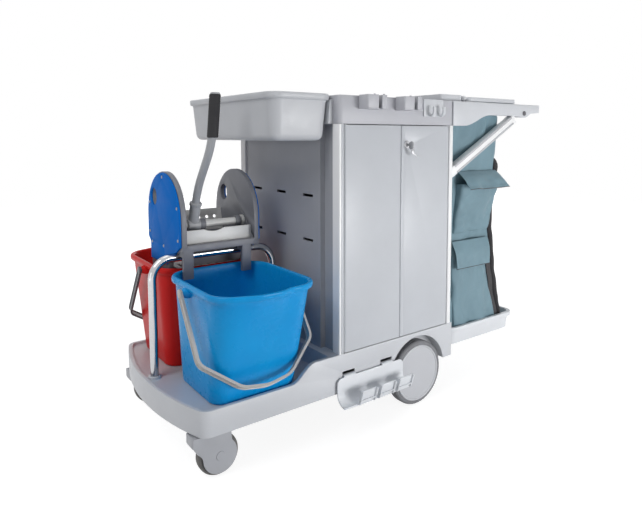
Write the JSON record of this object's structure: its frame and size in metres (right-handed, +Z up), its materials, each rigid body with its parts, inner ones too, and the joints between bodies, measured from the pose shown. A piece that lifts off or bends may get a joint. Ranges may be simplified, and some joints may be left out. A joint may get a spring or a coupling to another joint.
{
  "type": "janitor cart",
  "caption": "Wheeled cleaning cart with a lockable cabinet, a deck for mop buckets and a press wringer in front, and a hanging cloth bag with a lid behind.",
  "frame": {"origin": "on the floor, under the middle of the cart's box", "axes": "+X from the bucket deck to the bag end, -Y the door side, +Z up"},
  "size_m": [1.367, 0.699, 0.968],
  "materials": {
    "body_plastic": "fine moulded texture",
    "panel_plastic": "satin",
    "post_aluminium": "white powder coat",
    "grey_plastic": "fine moulded texture",
    "dark_plastic": "satin",
    "pale_plastic": "satin",
    "bail_plastic": "satin",
    "blue_plastic": "gloss",
    "red_plastic": "gloss",
    "steel": "satin",
    "chrome": "polished",
    "lever_metal": "satin paint",
    "grip_rubber": "matt",
    "wheel_rubber": "matt",
    "caster_rubber": "matt",
    "bag_cloth": "woven"
  },
  "bodies": {
    "chassis": {"base_platform": "body_plastic", "bag_shelf": "body_plastic", "far_side_panel": "body_plastic", "cabinet_shelf": "body_plastic", "header_frame": "body_plastic", "front_bin": "body_plastic", "hook_bracket": "body_plastic", "tool_clip_front": "body_plastic", "tool_clip_rear": "body_plastic", "bag_arm_near": "body_plastic", "bag_arm_far": "body_plastic", "push_handle": "body_plastic", "cover_plate": "body_plastic", "front_panel": "panel_plastic", "rear_panel": "panel_plastic", "post_front_near": "post_aluminium", "post_rear_near": "post_aluminium", "post_front_far": "post_aluminium", "post_rear_far": "post_aluminium", "bag_stays": "post_aluminium", "tool_rest": "grey_plastic", "wringer_frame": "grey_plastic", "back_plate": "pale_plastic", "splash_guard": "pale_plastic", "bucket_blue": "blue_plastic", "wringer_cover_front": "blue_plastic", "wringer_cover_rear": "blue_plastic", "bucket_red": "red_plastic", "rear_axle": "steel", "caster_mount_near": "steel", "caster_mount_far": "steel", "wringer_screws": "steel", "door_hinge_pins": "steel", "lid_pin": "steel", "frame_bolts": "steel", "divider_rail": "chrome", "bag": "bag_cloth"},
    "wheel_near": {"rear_hub_near": "body_plastic", "rear_tyre_near": "wheel_rubber"},
    "wheel_far": {"rear_hub_far": "body_plastic", "rear_tyre_far": "wheel_rubber"},
    "fork_near": {"caster_hood_near": "grey_plastic", "caster_axle_near": "steel"},
    "fork_far": {"caster_hood_far": "grey_plastic", "caster_axle_far": "steel"},
    "roller_near": {"caster_hub_near": "pale_plastic", "caster_tyre_near": "caster_rubber"},
    "roller_far": {"caster_hub_far": "pale_plastic", "caster_tyre_far": "caster_rubber"},
    "blue_bail": {"bail_blue": "bail_plastic"},
    "red_bail": {"bail_red": "dark_plastic"},
    "lever": {"wringer_shaft": "pale_plastic", "press_plate": "pale_plastic", "lever_socket": "lever_metal", "lever_tube": "lever_metal", "lever_grip": "grip_rubber"},
    "left_door": {"door_left": "body_plastic"},
    "right_door": {"door_right": "body_plastic"},
    "lock": {"door_lock": "chrome"},
    "lid": {"bag_lid": "body_plastic"}
  },
  "joints": [
    {"name": "rear_wheel_near_spin", "type": "hinge", "parent": "chassis", "child": "wheel_near", "pos_m": [0.0725, -0.267, 0.1], "axis": [0, 1, 0], "continuous": true},
    {"name": "rear_wheel_far_spin", "type": "hinge", "parent": "chassis", "child": "wheel_far", "pos_m": [0.0725, 0.267, 0.1], "axis": [0, 1, 0], "continuous": true},
    {"name": "caster_near_swivel", "type": "hinge", "parent": "chassis", "child": "fork_near", "pos_m": [-0.5995, -0.24, 0.14], "axis": [0, 0, 1], "continuous": true},
    {"name": "caster_far_swivel", "type": "hinge", "parent": "chassis", "child": "fork_far", "pos_m": [-0.5995, 0.24, 0.14], "axis": [0, 0, 1], "continuous": true},
    {"name": "caster_near_roll", "type": "hinge", "parent": "fork_near", "child": "roller_near", "pos_m": [-0.5815, -0.24, 0.053], "axis": [0, 1, 0], "continuous": true},
    {"name": "caster_far_roll", "type": "hinge", "parent": "fork_far", "child": "roller_far", "pos_m": [-0.5815, 0.24, 0.053], "axis": [0, 1, 0], "continuous": true},
    {"name": "blue_bail_swing", "type": "hinge", "parent": "chassis", "child": "blue_bail", "pos_m": [-0.475, -0.1555, 0.444], "axis": [-1, 0, 0], "range_deg": [0, 140]},
    {"name": "red_bail_swing", "type": "hinge", "parent": "chassis", "child": "red_bail", "pos_m": [-0.475, 0.1555, 0.444], "axis": [1, 0, 0], "range_deg": [0, 95]},
    {"name": "wringer_lever_swing", "type": "hinge", "parent": "chassis", "child": "lever", "pos_m": [-0.464, 0.03, 0.583], "axis": [1, 0, 0], "range_deg": [0, 55]},
    {"name": "left_door_swing", "type": "hinge", "parent": "chassis", "child": "left_door", "pos_m": [-0.208, -0.277, 0.549], "axis": [0, 0, -1], "range_deg": [0, 100]},
    {"name": "right_door_swing", "type": "hinge", "parent": "chassis", "child": "right_door", "pos_m": [0.194, -0.277, 0.549], "axis": [0, 0, 1], "range_deg": [0, 100]},
    {"name": "lock_turn", "type": "hinge", "parent": "right_door", "child": "lock", "pos_m": [0.017, -0.277, 0.81], "axis": [0, 1, 0], "range_deg": [0, 90]},
    {"name": "bag_lid_lift", "type": "hinge", "parent": "chassis", "child": "lid", "pos_m": [0.3035, 0, 0.958], "axis": [0, -1, 0], "range_deg": [0, 100]}
  ]
}
